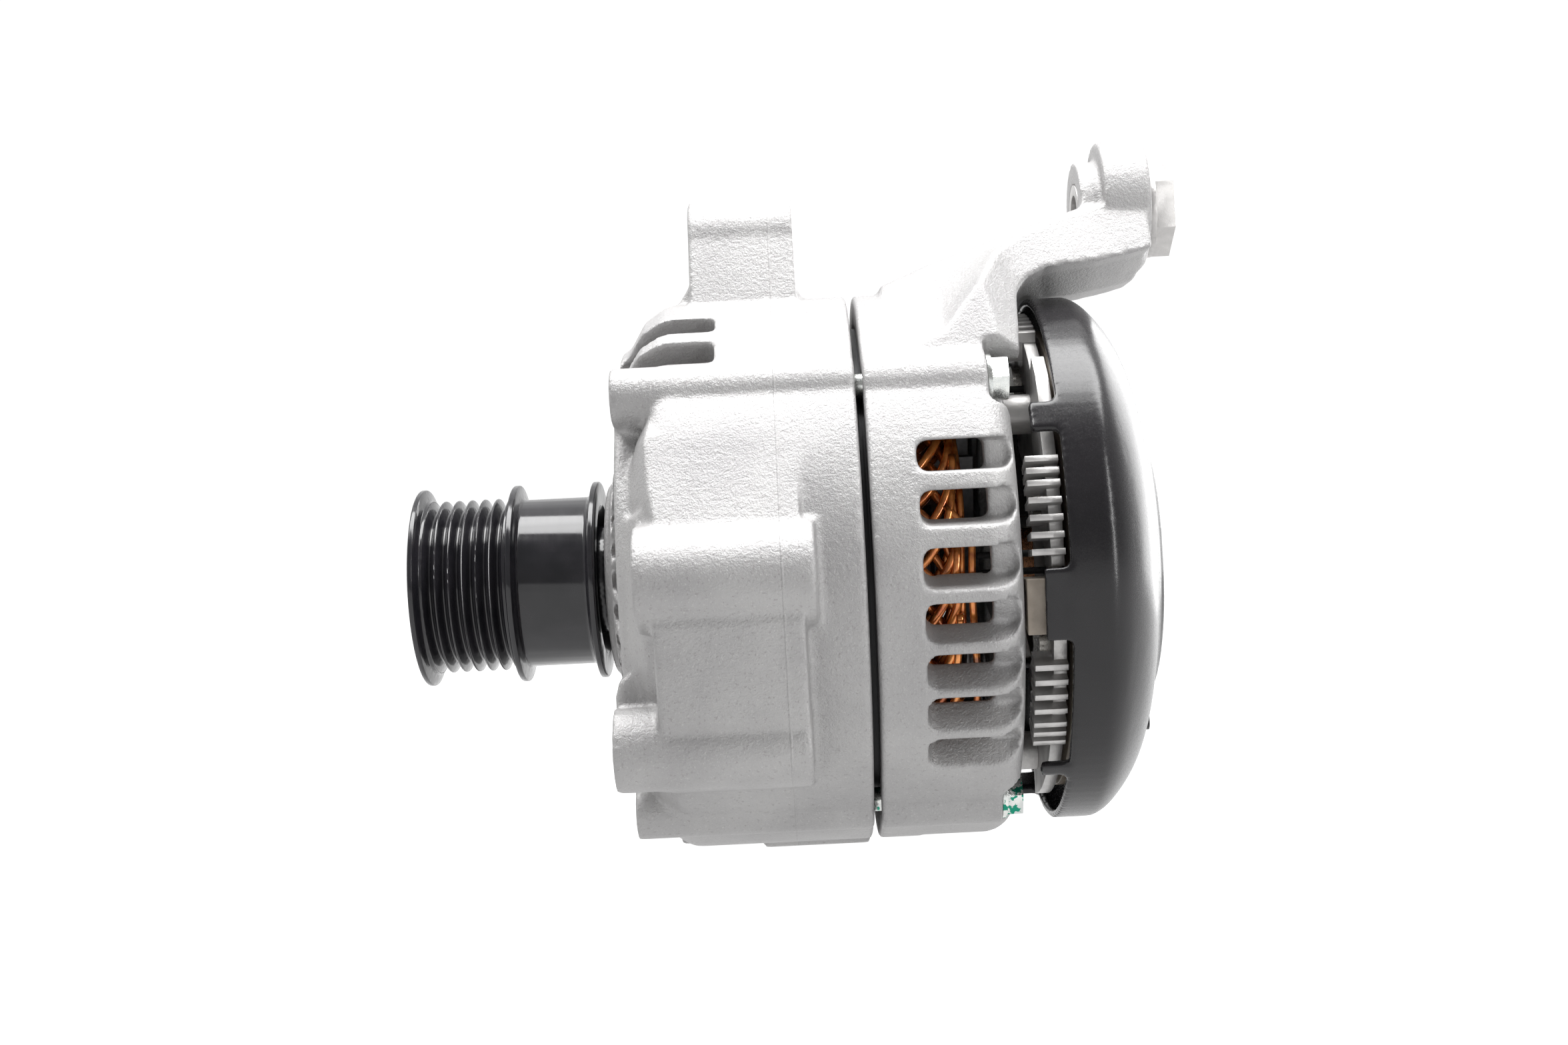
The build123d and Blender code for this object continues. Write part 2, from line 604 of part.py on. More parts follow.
coil_x = (rotor_x[0] + plate + 0.2, rotor_x[1] - plate - 0.2)
with BuildPart() as field_bobbin:
    turn((coil_x[0], 17.1), (coil_x[1], 17.1), (coil_x[1], field_r + 1.5), (coil_x[1] - 1.2, field_r + 1.5),
         (coil_x[1] - 1.2, 18.4), (coil_x[0] + 1.2, 18.4), (coil_x[0] + 1.2, field_r + 1.5),
         (coil_x[0], field_r + 1.5))
keep(field_bobbin, "field_bobbin")

with BuildPart() as field_coil:
    ring(coil_x[0] + 1.3, coil_x[1] - 1.3, 18.5, field_r)
keep(field_coil, "field_coil")


def fan(name, x_disc, direction, height, blades):
    """A pressed sheet-steel fan: a disc with blades bent up from its rim."""
    sheet = 1.4
    x_back = x_disc + direction * sheet
    with BuildPart() as wheel:
        ring(min(x_disc, x_back), max(x_disc, x_back), shaft_r + running, 46.0)
        with BuildSketch(axial(min(x_disc, x_back) - 1)):
            with PolarLocations(25.0, 4):
                Circle(4.0)
        extrude(amount=sheet + 2, mode=Mode.SUBTRACT)
        for index in range(blades):
            # uneven spacing keeps the fan from whistling
            angle = 360.0 / blades * index + 5.0 * sin(radians(150.0 * index))
            with BuildSketch(axial(min(x_disc, x_disc + direction * height))) as blade:
                with Locations(Location(around(angle, 38.5), 180.0 - angle - 35.0)):
                    Rectangle(17.0, sheet)
            extrude(blade.sketch, amount=height)
        ring(x_disc - 20, x_disc + 20, 47.5, 60.0, mode=Mode.SUBTRACT)
    keep(wheel, name)


fan("front_fan", rotor_x[0] - 0.1, -1, 10.5, 11)
fan("rear_fan", rotor_x[1] + 0.1, 1, 11.5, 13)

with BuildPart() as slip_ring_insulator:
    ring(split + 40.6, shaft_end - 0.6, 5.2 + running, 6.5)
    ring(ring_x[0] + ring_width + 0.1, ring_x[1] - 0.1, 6.0, 7.8)
keep(slip_ring_insulator, "slip_ring_insulator")

for name, x in (("inner_slip_ring", ring_x[0]), ("outer_slip_ring", ring_x[1])):
    with BuildPart() as slip_ring:
        ring(x, x + ring_width, 6.5 + running, ring_r)
    keep(slip_ring, name)

# ---- brushes ----------------------------------------------------------------------------
brush_z = ring_r + 0.05
spring_gap = (brush_z + brush_size[2] + 0.3, brush_z + brush_size[2] + 11.5)
holder_x = (split + 41.5, split + 60.0)
holder_top = spring_gap[1] + 2.5
with BuildPart() as brush_holder:
    slab((holder_x[0], -7.5, 11.0), (holder_x[1] - holder_x[0], 15.0, holder_top - 11.0), soft=1.0)
    for x in ring_x:
        slab((x + ring_width / 2 - brush_channel[0] / 2, -brush_channel[1] / 2, 10.0),
             (brush_channel[0], brush_channel[1], spring_gap[1] + 0.3 - 10.0), mode=Mode.SUBTRACT)
keep(brush_holder, "brush_holder")

for name, x in (("inner", ring_x[0]), ("outer", ring_x[1])):
    x_mid = x + ring_width / 2
    with BuildPart() as brush:
        slab((x_mid - brush_size[0] / 2, -brush_size[1] / 2, brush_z), brush_size)
        # the worn end follows the ring
        rod(x - 2, x + ring_width + 2, ring_r + 0.35, mode=Mode.SUBTRACT)
    keep(brush, f"{name}_brush")

    with BuildPart() as brush_spring:
        with BuildLine(Plane((x_mid, 0, spring_gap[0] + 0.4))) as path:
            Helix(pitch=1.75, height=spring_gap[1] - spring_gap[0] - 0.8, radius=1.75)
        with BuildSketch(Plane(path.line @ 0, z_dir=path.line % 0)):
            Circle(0.28)
        sweep()
    keep(brush_spring, f"{name}_brush_spring")

# ---- rectifier --------------------------------------------------------------------------
fin_offsets = (12.35, 15.9, 19.5, 23.2, 26.9, 29.6, 32.3)
fin_middle = -10.2
fin_angles = [fin_middle + side * offset for side in (1, -1) for offset in fin_offsets]
fin_angles += [62.0 + 3.4 * step for step in range(6)] + [172.0 + 4.0 * step for step in range(12)]
negative_angles = (-25.0, 20.0, 70.0, 95.0, 184.0, 208.0)
negative_circle = 47.0
positive_angles = (-20.0, 5.0, 75.0, 100.0, 195.0, 212.0)
positive_circle = 46.0
diode_r = 6.4


def clear_modules(x0, x1):
    """Take the spaces of the regulator and the brush holder out of a plate."""
    slab((x0 - 1, -7.5, -75.0), (x1 - x0 + 2, 39.0, 47.5), mode=Mode.SUBTRACT)
    slab((x0 - 1, -8.5, 20.0), (x1 - x0 + 2, 17.0, 19.0), mode=Mode.SUBTRACT)


def notch(angle, half, inner, x0, x1):
    """Take a sector out of a plate, from a radius outwards."""
    reach = 90.0
    points = [around(angle - half, inner), around(angle - half, reach), around(angle + half, reach),
              around(angle + half, inner)]
    prism(x0 - 1, x1 + 1, points, mode=Mode.SUBTRACT)


with BuildPart() as negative_heat_sink:
    ring(sink_x[0], sink_x[1], 30.0, 63.0)
    prism(sink_x[0], sink_x[1], [around(34.7, 50), around(34.7, 67.2), around(41.6, 68), around(48.6, 67.2),
                                 around(48.6, 50)])
    for angle in fin_angles:
        with BuildSketch(axial(split + 39.2)) as fin:
            with Locations(Location(around(angle, 61.9), 180.0 - angle)):
                Rectangle(7.8, 1.5)
        extrude(fin.sketch, amount=sink_x[1] - split - 39.2)
    notch(-9.0, 8.0, 57.0, sink_x[0], sink_x[1])
    clear_modules(*sink_x)
    for angle in stud_angles:
        rod(split + 38, sink_x[1] + 1, 2.5 + slack, around(angle, stud_circle), mode=Mode.SUBTRACT)
    for angle in negative_angles:
        rod(split + 38, sink_x[1] + 1, diode_r + running, around(angle, negative_circle),
            mode=Mode.SUBTRACT)
    for angle in lead_angles:
        for shift in (-2.4, 2.4):
            rod(split + 38, sink_x[1] + 1, 1.5, around(angle + shift, lead_circle), mode=Mode.SUBTRACT)
    rod(split + 38, sink_x[1] + 1, 6.5, battery_at, mode=Mode.SUBTRACT)
keep(negative_heat_sink, "negative_heat_sink")

with BuildPart() as positive_heat_sink:
    ring(upper_sink_x[0], upper_sink_x[1], 28.0, 56.5)
    clear_modules(*upper_sink_x)
    for angle in stud_angles:
        rod(upper_sink_x[0] - 1, upper_sink_x[1] + 1, 4.6, around(angle, stud_circle), mode=Mode.SUBTRACT)
    for angle in positive_angles:
        rod(upper_sink_x[0] - 1, upper_sink_x[1] + 1, diode_r + running,
            around(angle, positive_circle), mode=Mode.SUBTRACT)
    rod(upper_sink_x[0] - 1, upper_sink_x[1] + 1, 4.0 + slack, battery_at, mode=Mode.SUBTRACT)
keep(positive_heat_sink, "positive_heat_sink")


def diodes(name, x0, x1, angles, circle, wire):
    """Press-in diodes: a cup, and a lead towards the terminal plate."""
    with BuildPart() as group:
        for angle in angles:
            at = around(angle, circle)
            rod(x0, x1, diode_r, at)
            rod(min(x0, wire), max(x1, wire), 0.7, at)
    keep(group, name)


diodes("negative_diodes", split + 42.0, sink_x[1], negative_angles, negative_circle, split + 50.0)
diodes("positive_diodes", upper_sink_x[0], split + 60.5, positive_angles, positive_circle, split + 50.5)

plate_x = (split + 49.0, split + 51.5)
with BuildPart() as terminal_plate:
    ring(plate_x[0], plate_x[1], 27.0, 61.0)
    prism(split + 37.6, plate_x[1], [around(-3.3, 58), around(-3.3, 66), around(-15.0, 66),
                                     around(-15.0, 58)])
    clear_modules(*plate_x)
    for angle in stud_angles:
        rod(plate_x[0] - 1, plate_x[1] + 1, 2.5 + slack, around(angle, stud_circle), mode=Mode.SUBTRACT)
    for angle in negative_angles:
        rod(plate_x[0] - 1, plate_x[1] + 1, 1.0, around(angle, negative_circle), mode=Mode.SUBTRACT)
    for angle in positive_angles:
        rod(plate_x[0] - 1, plate_x[1] + 1, 1.0, around(angle, positive_circle), mode=Mode.SUBTRACT)
    rod(plate_x[0] - 1, plate_x[1] + 1, 6.5, battery_at, mode=Mode.SUBTRACT)
keep(terminal_plate, "terminal_plate")

with BuildPart() as stator_leads:
    for angle in lead_angles:
        for shift in (-2.4, 2.4):
            rod(winding_x[3] + 0.1, plate_x[0] - 0.1, 0.85, around(angle + shift, lead_circle))
keep(stator_leads, "stator_leads")

# ---- regulator with its plug socket -----------------------------------------------------
regulator_x = (split + 41.0, split + 56.0)
socket_size = (24.0, 15.0)
socket_end = split + 77.2
socket_floor = split + 61.0
pin_foot = split + 57.0
pin_length = 15.5
with BuildPart() as regulator:
    slab((regulator_x[0], -6.0, -56.0), (regulator_x[1] - regulator_x[0], 36.0, 27.0), soft=2.0)
    y, z = connector_at
    slab((regulator_x[1] - 1, y - socket_size[0] / 2 - 2, z - socket_size[1] / 2 - 2),
         (socket_end - regulator_x[1] + 1, socket_size[0] + 4, socket_size[1] + 4), soft=2.5)
    slab((socket_floor, y - socket_size[0] / 2, z - socket_size[1] / 2),
         (socket_end - socket_floor + 1, socket_size[0], socket_size[1]), soft=1.5, mode=Mode.SUBTRACT)
    for shift in (-6.0, 0.0, 6.0):
        slab((pin_foot, y + shift - 0.6, z - 1.6), (6.0, 1.2, 3.2), mode=Mode.SUBTRACT)
keep(regulator, "regulator")

with BuildPart() as connector_pins:
    for shift in (-6.0, 0.0, 6.0):
        slab((pin_foot + 0.05, y + shift - 0.5, z - 1.5), (pin_length, 1.0, 3.0))
keep(connector_pins, "connector_pins")

# ---- battery terminal -------------------------------------------------------------------
battery_nut_end = split + 74.8
with BuildPart() as battery_stud:
    rod(upper_sink_x[0] - 3.0, battery_nut_end + 0.1, 3.9, battery_at)
    rod(battery_nut_end + 0.1, battery_nut_end + 5.0, 4.0, battery_at)
    hexagon(upper_sink_x[0] - 4.0, upper_sink_x[0] - 0.1, 11.0, battery_at)
    chamfer(battery_stud.edges().filter_by(GeomType.CIRCLE).sort_by(Axis.X)[-1], 0.6)
keep(battery_stud, "battery_stud")

with BuildPart() as battery_insulator:
    rod(upper_sink_x[1] + 0.1, split + 70.0, 8.0, battery_at)
    rod(upper_sink_x[1], split + 71.0, 4.0 + slack, battery_at, mode=Mode.SUBTRACT)
keep(battery_insulator, "battery_insulator")

with BuildPart() as battery_nut:
    hexagon(split + 71.1, battery_nut_end, 13.0, battery_at)
    rod(split + 70.1, split + 71.2, 8.0, battery_at)
    rod(split + 70, battery_nut_end + 1.0, 4.0, battery_at, mode=Mode.SUBTRACT)
keep(battery_nut, "battery_nut")

# ---- studs that clamp the rectifier and carry the cover ---------------------------------
stud_top = split + 67.5
covered_stud_top = split + 62.0
nut_angles = stud_angles[1:]
with BuildPart() as cover_studs:
    for angle in stud_angles:
        top = stud_top if angle in nut_angles else covered_stud_top
        rod(rear_wall + 1.0, top, 2.5, around(angle, stud_circle))
keep(cover_studs, "cover_studs")

with BuildPart() as rectifier_spacers:
    for angle in stud_angles:
        at = around(angle, stud_circle)
        rod(rear_end + 0.05, sink_x[0] - 0.05, 5.0, at)
        rod(plate_x[1] + 0.05, split + 60.0, 4.4, at)
        rod(rear_end - 1, split + 61.0, 2.5 + slack, at, mode=Mode.SUBTRACT)
keep(rectifier_spacers, "rectifier_spacers")

# ---- rear cover -------------------------------------------------------------------------
cover_tabs = ((30.7, 3.4, 41.0), (-8.3, 7.2, 41.6), (-48.5, 1.8, 41.0), (150.0, 4.0, 41.0),
              (200.0, 5.0, 41.0), (250.0, 4.0, 41.0))


def dome(offset):
    """Outline of the cover's outer face, moved in by an offset."""
    r = cover_r - offset
    with BuildSketch(Plane.XZ) as outline:
        with BuildLine():
            side = Line((cover_rim - 7.0, r), (split + 57.4, r))
            back = Spline(side @ 1, (split + 63.6 - offset * 0.6, 65.0 - offset * 0.8),
                          (split + 69.8 - offset * 0.85, 55.0 - offset * 0.55),
                          (split + 73.7 - offset, 41.0 - offset * 0.2), (cover_top - offset, 0),
                          tangents=[(1, -0.3), (0, -1)])
            Polyline(back @ 1, (cover_rim - 7.0, 0), side @ 0)
        make_face()
    return outline.sketch


with BuildPart() as rear_cover:
    revolve(dome(0.0), axis=Axis.X)
    revolve(dome(cover_wall), axis=Axis.X, mode=Mode.SUBTRACT)
    # keep the skirt in front of the rim only at the tabs
    ring(cover_rim - 8, cover_rim, 50, 80, mode=Mode.SUBTRACT)
    for angle, half, front in cover_tabs:
        corners = ((cover_r - 2.6, -half), (cover_r - 0.3, -half), (cover_r - 0.3, half), (cover_r - 2.6, half))
        prism(split + front, cover_rim + 2, [around(angle + turned, radius) for radius, turned in corners])
    # air slots in the back, in two rings
    for radius, count, width, height in ((15.0, 10, 4.2, 10.0), (26.5, 18, 4.2, 8.0)):
        with BuildSketch(axial(split + 66.0)) as slots:
            with PolarLocations(radius, count):
                SlotOverall(height, width)
        extrude(slots.sketch, amount=20.0, mode=Mode.SUBTRACT)
    # solid pads around the terminal, the plug and the studs, then their openings
    rod(split + 66.0, split + 72.0, 12.0, battery_at)
    rod(split + 60.0, split + 80.0, 8.4, battery_at, mode=Mode.SUBTRACT)
    y, z = connector_at
    slab((split + 64.0, y - 16.5, z - 12.0), (8.0, 33.0, 24.0), soft=3.0)
    slab((split + 50.0, y - 14.4, z - 9.9), (32.0, 28.8, 19.8), soft=2.5, mode=Mode.SUBTRACT)
    for angle in nut_angles:
        at = around(angle, stud_circle)
        rod(split + 60.3, split + 66.5, 7.5, at)
        rod(split + 62.3, split + 78.0, 6.0, at, mode=Mode.SUBTRACT)
        rod(split + 59.0, split + 78.0, 2.5 + slack, at, mode=Mode.SUBTRACT)
keep(rear_cover, "rear_cover")

with BuildPart() as cover_nuts:
    for angle in nut_angles:
        at = around(angle, stud_circle)
        rod(split + 62.35, split + 63.4, 5.4, at)
        hexagon(split + 63.3, split + 67.0, 8.0, at)
        rod(split + 62, split + 68, 2.5 + slack, at, mode=Mode.SUBTRACT)
keep(cover_nuts, "cover_nuts")
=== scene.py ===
import json
import math
import random

import bmesh
import bpy
from mathutils import Matrix, Vector


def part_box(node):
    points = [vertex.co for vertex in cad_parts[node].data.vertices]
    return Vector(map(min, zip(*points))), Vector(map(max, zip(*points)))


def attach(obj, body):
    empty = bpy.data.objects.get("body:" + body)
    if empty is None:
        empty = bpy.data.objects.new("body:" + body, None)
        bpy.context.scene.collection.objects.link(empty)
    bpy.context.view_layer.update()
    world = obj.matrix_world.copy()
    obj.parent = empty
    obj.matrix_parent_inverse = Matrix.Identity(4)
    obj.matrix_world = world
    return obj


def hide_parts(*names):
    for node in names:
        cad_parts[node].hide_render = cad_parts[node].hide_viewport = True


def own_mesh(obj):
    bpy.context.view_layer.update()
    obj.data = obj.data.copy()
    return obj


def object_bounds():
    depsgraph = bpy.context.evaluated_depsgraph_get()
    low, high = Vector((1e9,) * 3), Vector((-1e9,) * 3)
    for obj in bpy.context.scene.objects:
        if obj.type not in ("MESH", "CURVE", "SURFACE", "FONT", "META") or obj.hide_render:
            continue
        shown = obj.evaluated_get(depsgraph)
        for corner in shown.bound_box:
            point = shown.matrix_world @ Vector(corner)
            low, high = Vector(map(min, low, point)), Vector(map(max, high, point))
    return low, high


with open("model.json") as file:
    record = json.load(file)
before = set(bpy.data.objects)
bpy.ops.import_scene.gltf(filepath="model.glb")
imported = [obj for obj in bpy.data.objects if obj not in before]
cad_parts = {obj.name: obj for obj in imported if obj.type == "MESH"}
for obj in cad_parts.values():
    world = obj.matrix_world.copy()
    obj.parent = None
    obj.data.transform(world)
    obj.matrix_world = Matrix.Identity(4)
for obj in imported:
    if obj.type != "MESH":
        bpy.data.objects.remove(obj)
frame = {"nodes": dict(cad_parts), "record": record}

# Looks of the car alternator. Metres, in the frame of the CAD model: X along the shaft towards
# the rear cover, Z up. SPLIT is the station of the joint between the two housings.
CAD_BOX = [list(corner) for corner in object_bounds()]
MM = 0.001
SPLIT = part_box("front_housing")[1].x

LENS_MM = 42.83
SENSOR_MM = 36.0
CAMERA_AT = (SPLIT - 0.01513, -0.50494, 0.00998)
CAMERA_RIGHT = (0.99868854, 0.00837681, -0.05050778)
CAMERA_UP = (0.05055356, -0.00534623, 0.99870704)

FLOOR_REACH = 3.0
PARTING_X = SPLIT - 0.0195          # the front casting's parting line
WIRE_LAYERS = (1.6, 4.6, 7.6)       # depth in mm of each wire layer below the winding's outside
SLOTS = 48


# ---- camera, light and floor ---------------------------------------------------------------
def make_camera():
    """A camera level with the shaft, on the -Y side, rolled a little."""
    data = bpy.data.cameras.new("camera")
    data.lens = LENS_MM
    data.sensor_width = SENSOR_MM
    data.clip_start = 0.02
    camera = bpy.data.objects.new("camera", data)
    right, up = Vector(CAMERA_RIGHT), Vector(CAMERA_UP)
    turn = Matrix((right, up, right.cross(up))).transposed().to_4x4()
    camera.matrix_world = Matrix.Translation(CAMERA_AT) @ turn
    bpy.context.scene.collection.objects.link(camera)
    bpy.context.scene.camera = camera


def soft_light(name, at, aim, size, power):
    """A rectangular studio light that points at aim."""
    data = bpy.data.lights.new(name, "AREA")
    data.shape = "RECTANGLE"
    data.size, data.size_y = size
    data.energy = power
    light = bpy.data.objects.new(name, data)
    light.location = at
    light.rotation_euler = (Vector(aim) - Vector(at)).to_track_quat("-Z", "Y").to_euler()
    bpy.context.scene.collection.objects.link(light)


def make_studio():
    """Surroundings white behind the object and dim in front, three lights and a pale floor."""
    world = bpy.data.worlds.new("studio")
    world.use_nodes = True
    tree = world.node_tree
    background = tree.nodes["Background"]
    background.inputs["Color"].default_value = (1.0, 1.0, 1.0, 1.0)
    parts = tree.nodes.new("ShaderNodeSeparateXYZ")
    tree.links.new(tree.nodes.new("ShaderNodeTexCoord").outputs["Generated"], parts.inputs[0])
    fade = tree.nodes.new("ShaderNodeMapRange")
    fade.inputs["From Min"].default_value = -0.5
    fade.inputs["From Max"].default_value = 0.4
    fade.inputs["To Min"].default_value = 0.32
    fade.inputs["To Max"].default_value = 1.05
    tree.links.new(parts.outputs["Y"], fade.inputs["Value"])
    tree.links.new(fade.outputs["Result"], background.inputs["Strength"])
    bpy.context.scene.world = world
    bpy.context.scene.view_settings.view_transform = "Standard"
    overhead_at = (SPLIT, -0.06, 0.85)
    soft_light("overhead", overhead_at, (SPLIT, 0.0, 0.0), (1.6, 0.48), 27.0)
    aside = (SPLIT + 0.05, 0, 0)
    soft_light("right_strip", (SPLIT + 0.42, -0.42, 0.12), aside, (0.03, 0.5), 1.2)
    soft_light("right_rear", (SPLIT + 0.62, 0.55, 0.15), aside, (0.6, 0.8), 6.0)

    lowest = CAD_BOX[0][2]
    mesh = bpy.data.meshes.new("floor")
    corners = [(-FLOOR_REACH, -FLOOR_REACH), (FLOOR_REACH, -FLOOR_REACH),
               (FLOOR_REACH, FLOOR_REACH), (-FLOOR_REACH, FLOOR_REACH)]
    mesh.from_pydata([(x, y, lowest) for x, y in corners], [], [(0, 1, 2, 3)])
    floor = bpy.data.objects.new("floor", mesh)
    bpy.context.scene.collection.objects.link(floor)
    floor.data.materials.append(floor_paint())


# ---- node helpers ----------------------------------------------------------------------------
class Finish:
    """A procedural material in the making: its node tree, shader and object coordinates."""

    def __init__(self, name, colour, metallic, roughness, **sockets):
        self.material = bpy.data.materials.new(name)
        self.material.use_nodes = True
        self.tree = self.material.node_tree
        self.shader = self.tree.nodes["Principled BSDF"]
        self.set(self.shader, "Base Color", (*colour, 1.0))
        self.set(self.shader, "Metallic", metallic)
        self.set(self.shader, "Roughness", roughness)
        for socket, value in sockets.items():
            self.set(self.shader, socket.replace("_", " "), value)
        self.place = self.tree.nodes.new("ShaderNodeTexCoord").outputs["Object"]

    def set(self, node, socket, value):
        node.inputs[socket].default_value = value

    def node(self, kind, **settings):
        made = self.tree.nodes.new(kind)
        for key, value in settings.items():
            setattr(made, key, value)
        return made

    def link(self, source, target):
        self.tree.links.new(source, target)

    def math(self, operation, first, second=0.0):
        made = self.node("ShaderNodeMath", operation=operation)
        for index, value in enumerate((first, second)):
            if hasattr(value, "links"):
                self.link(value, made.inputs[index])
            else:
                made.inputs[index].default_value = value
        return made.outputs[0]

    def noise(self, size, detail=3.0, rough=0.55, stretch=None):
        """Noise whose features are about this size in millimetres."""
        made = self.node("ShaderNodeTexNoise")
        made.inputs["Scale"].default_value = 1.0 / (size * MM)
        made.inputs["Detail"].default_value = detail
        made.inputs["Roughness"].default_value = rough
        place = self.place
        if stretch:
            mapping = self.node("ShaderNodeMapping")
            mapping.inputs["Scale"].default_value = stretch
            self.link(place, mapping.inputs["Vector"])
            place = mapping.outputs["Vector"]
        self.link(place, made.inputs["Vector"])
        return made.outputs["Fac"]

    def ramp(self, source, low, high, out_low=0.0, out_high=1.0):
        """Maps a value from one range to another, and clamps it."""
        made = self.node("ShaderNodeMapRange")
        made.inputs["From Min"].default_value = low
        made.inputs["From Max"].default_value = high
        made.inputs["To Min"].default_value = out_low
        made.inputs["To Max"].default_value = out_high
        self.link(source, made.inputs["Value"])
        return made.outputs["Result"]

    def blend(self, amount, first, second):
        """Mixes two colours, each a tuple or a socket."""
        made = self.node("ShaderNodeMix", data_type="RGBA")
        self.link(amount, made.inputs["Factor"])
        sockets = [s for s in made.inputs if s.type == "RGBA"]
        for value, socket in zip((first, second), sockets):
            if hasattr(value, "links"):
                self.link(value, socket)
            else:
                socket.default_value = (*value, 1.0)
        return [s for s in made.outputs if s.type == "RGBA"][0]

    def axis(self, letter):
        made = self.node("ShaderNodeSeparateXYZ")
        self.link(self.place, made.inputs[0])
        return made.outputs[letter]

    def colour(self, socket):
        self.link(socket, self.shader.inputs["Base Color"])

    def roughness(self, socket):
        self.link(socket, self.shader.inputs["Roughness"])

    def bump(self, height, depth):
        """Adds a bump of this depth in millimetres, on top of any earlier one."""
        made = self.node("ShaderNodeBump")
        made.inputs["Distance"].default_value = depth * MM
        made.inputs["Strength"].default_value = 1.0
        self.link(height, made.inputs["Height"])
        normal = self.shader.inputs["Normal"]
        if normal.links:
            self.link(normal.links[0].from_socket, made.inputs["Normal"])
        self.link(made.outputs["Normal"], normal)


def floor_paint():
    finish = Finish("floor_paint", (0.06, 0.06, 0.06), 0.0, 0.6, Emission_Strength=0.98)
    finish.set(finish.shader, "Emission Color", (1.0, 1.0, 1.0, 1.0))
    tone = finish.noise(90.0)
    finish.colour(finish.blend(tone, (0.055, 0.055, 0.055), (0.065, 0.065, 0.065)))
    return finish.material


# ---- materials of the object -------------------------------------------------------------------
def cast_alloy():
    """Shot-blasted die-cast aluminium: fine sparkly grain over faint flow clouds."""
    finish = Finish("cast_alloy", (0.62, 0.61, 0.60), 0.55, 0.5)
    cloud = finish.noise(26.0, 4.0)
    base = finish.blend(finish.ramp(cloud, 0.35, 0.65), (0.33, 0.325, 0.326), (0.39, 0.385, 0.383))
    grain = finish.noise(0.55, 3.0, 0.7)
    speck = finish.ramp(grain, 0.56, 0.72)
    base = finish.blend(finish.math("MULTIPLY", speck, 0.5), base, (0.58, 0.57, 0.56))
    dark = finish.ramp(finish.noise(0.8, 2.0), 0.40, 0.28)
    base = finish.blend(finish.math("MULTIPLY", dark, 0.45), base, (0.21, 0.198, 0.195))
    finish.colour(base)
    finish.roughness(finish.ramp(grain, 0.3, 0.7, 0.40, 0.62))
    finish.bump(finish.noise(1.3, 3.0, 0.6), 0.20)
    finish.bump(grain, 0.20)
    # raised parting line of the casting mould
    offset = finish.math("ABSOLUTE", finish.math("SUBTRACT", finish.axis("X"), PARTING_X))
    finish.bump(finish.ramp(offset, 0.00035, 0.0001), 0.12)
    return finish.material


def fin_alloy():
    """Bare machined aluminium with a fine matt grain."""
    finish = Finish("fin_alloy", (0.50, 0.49, 0.48), 0.75, 0.42)
    grain = finish.noise(0.5, 3.0, 0.7)
    cloud = finish.ramp(finish.noise(8.0), 0.35, 0.65)
    finish.colour(finish.blend(cloud, (0.40, 0.39, 0.385), (0.54, 0.53, 0.52)))
    finish.roughness(finish.ramp(grain, 0.3, 0.7, 0.34, 0.55))
    finish.bump(grain, 0.06)
    return finish.material


def black_steel():
    """Polished black oxide, a little duller along faint turning marks round the pulley."""
    finish = Finish("black_steel", (0.010, 0.010, 0.012), 0.0, 0.16, IOR=1.52)
    cloud = finish.ramp(finish.noise(9.0), 0.35, 0.65)
    finish.colour(finish.blend(cloud, (0.008, 0.008, 0.010), (0.016, 0.015, 0.018)))
    lines = finish.noise(0.35, 2.0, 0.6, stretch=(1.0, 0.004, 0.004))
    finish.roughness(finish.ramp(lines, 0.3, 0.7, 0.13, 0.20))
    return finish.material


def black_plastic():
    """Glass-filled nylon with a fine moulded texture and a soft sheen."""
    finish = Finish("black_plastic", (0.014, 0.012, 0.015), 0.0, 0.3, IOR=1.46)
    cloud = finish.ramp(finish.noise(14.0), 0.3, 0.7)
    finish.colour(finish.blend(cloud, (0.005, 0.0045, 0.0055), (0.009, 0.008, 0.0095)))
    fine = finish.noise(0.6, 4.0, 0.65)
    finish.roughness(finish.ramp(fine, 0.3, 0.7, 0.20, 0.30))
    finish.bump(fine, 0.015)
    finish.bump(finish.noise(9.0, 2.0), 0.04)
    return finish.material


def zinc_steel():
    """Bright zinc plate, with a little green inspection paint on the lowest through bolt."""
    finish = Finish("zinc_steel", (0.70, 0.72, 0.71), 1.0, 0.22)
    cloud = finish.noise(3.0)
    base = finish.blend(finish.ramp(cloud, 0.35, 0.65), (0.60, 0.62, 0.61), (0.78, 0.79, 0.76))
    low = finish.ramp(finish.axis("Z"), -0.050, -0.053)
    near = finish.ramp(finish.axis("Y"), -0.01, -0.02)
    blot = finish.ramp(finish.noise(2.6, 2.0), 0.57, 0.60)
    paint = finish.math("MULTIPLY", finish.math("MULTIPLY", low, near), blot)
    finish.colour(finish.blend(paint, base, (0.02, 0.26, 0.17)))
    fine = finish.noise(0.4, 3.0)
    finish.roughness(finish.ramp(fine, 0.3, 0.7, 0.16, 0.32))
    finish.bump(fine, 0.02)
    return finish.material


def plain_steel(name, dark, light, rough, grain):
    """Steel with mottled tone and fine grain."""
    finish = Finish(name, light, 0.95, rough)
    cloud = finish.noise(5.0)
    finish.colour(finish.blend(finish.ramp(cloud, 0.3, 0.7), dark, light))
    fine = finish.noise(grain, 3.0)
    finish.roughness(finish.ramp(fine, 0.3, 0.7, rough * 0.75, rough * 1.3))
    finish.bump(fine, 0.02)
    return finish.material


